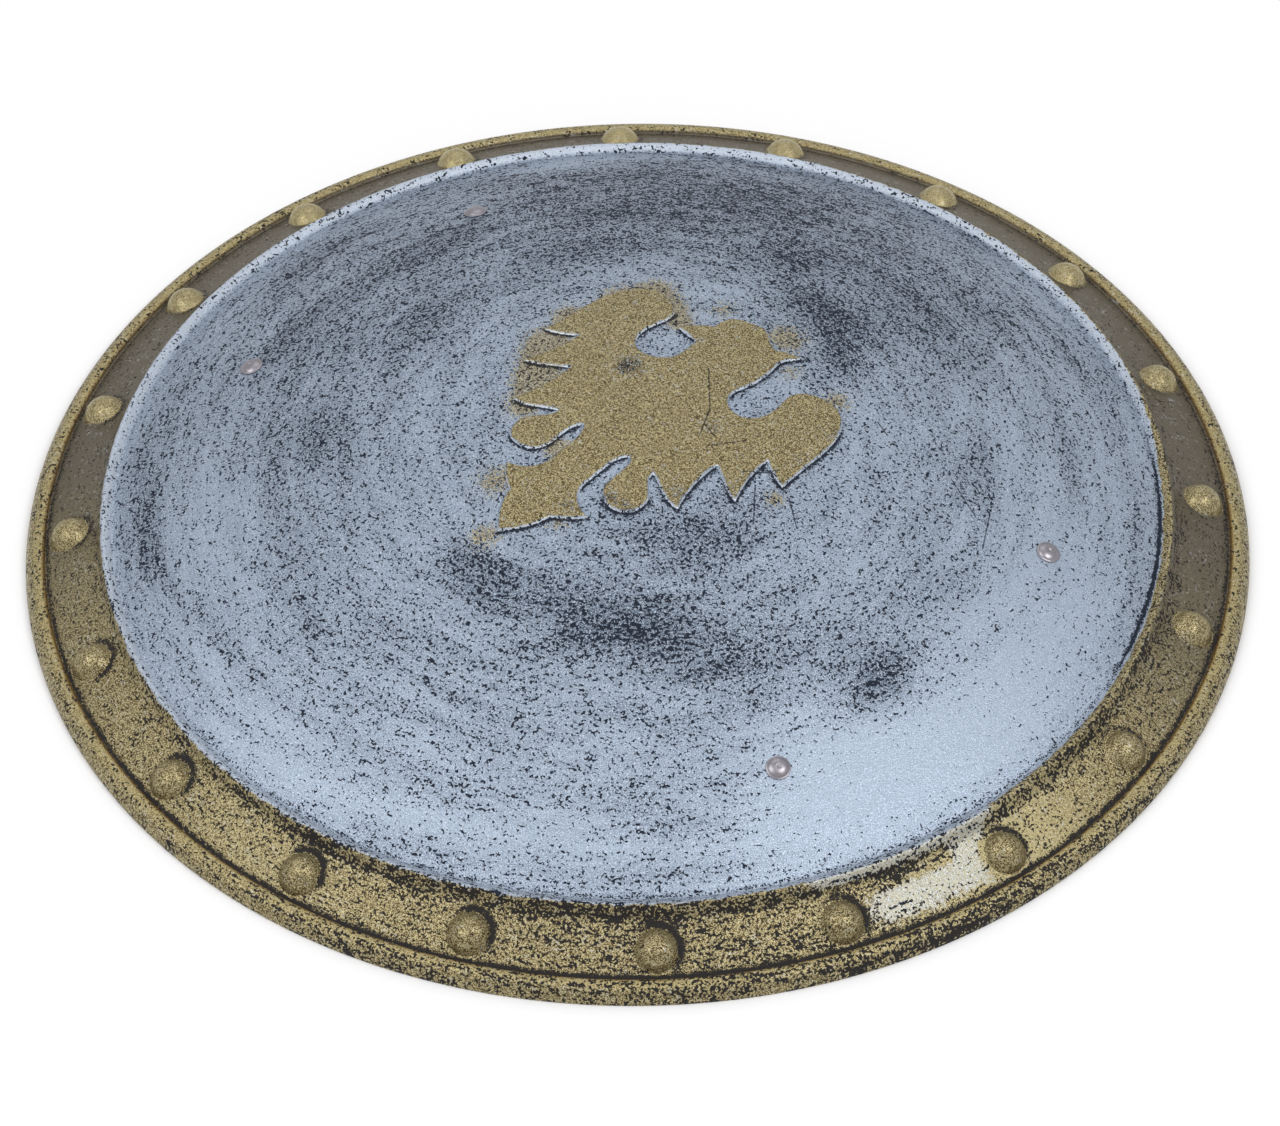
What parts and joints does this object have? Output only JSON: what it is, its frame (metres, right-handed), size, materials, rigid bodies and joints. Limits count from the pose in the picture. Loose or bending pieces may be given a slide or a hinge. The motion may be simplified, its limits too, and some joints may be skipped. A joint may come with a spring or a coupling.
{
  "type": "round shield",
  "caption": "Round convex costume shield with a studded, rolled rim and a low-relief eagle, carried by two webbing straps riveted across the hollow behind it.",
  "frame": {"origin": "centre of the plane that the skirt of the rim rests on", "axes": "+Z out through the top of the dome, +Y towards the eagle's head, +X towards the forearm strap"},
  "size_m": [0.5, 0.5, 0.068],
  "materials": {
    "shell_plastic": "grained black plastic, dry-brushed silver on the dome and gold on the rim and eagle",
    "webbing": "woven black webbing",
    "rivet_metal": "satin"
  },
  "bodies": {
    "root": {"shell": "shell_plastic", "hand_grip_strap": "webbing", "forearm_strap": "webbing", "hand_rivet_upper": "rivet_metal", "hand_rivet_lower": "rivet_metal", "forearm_rivet_upper": "rivet_metal", "forearm_rivet_lower": "rivet_metal"}
  },
  "joints": []
}
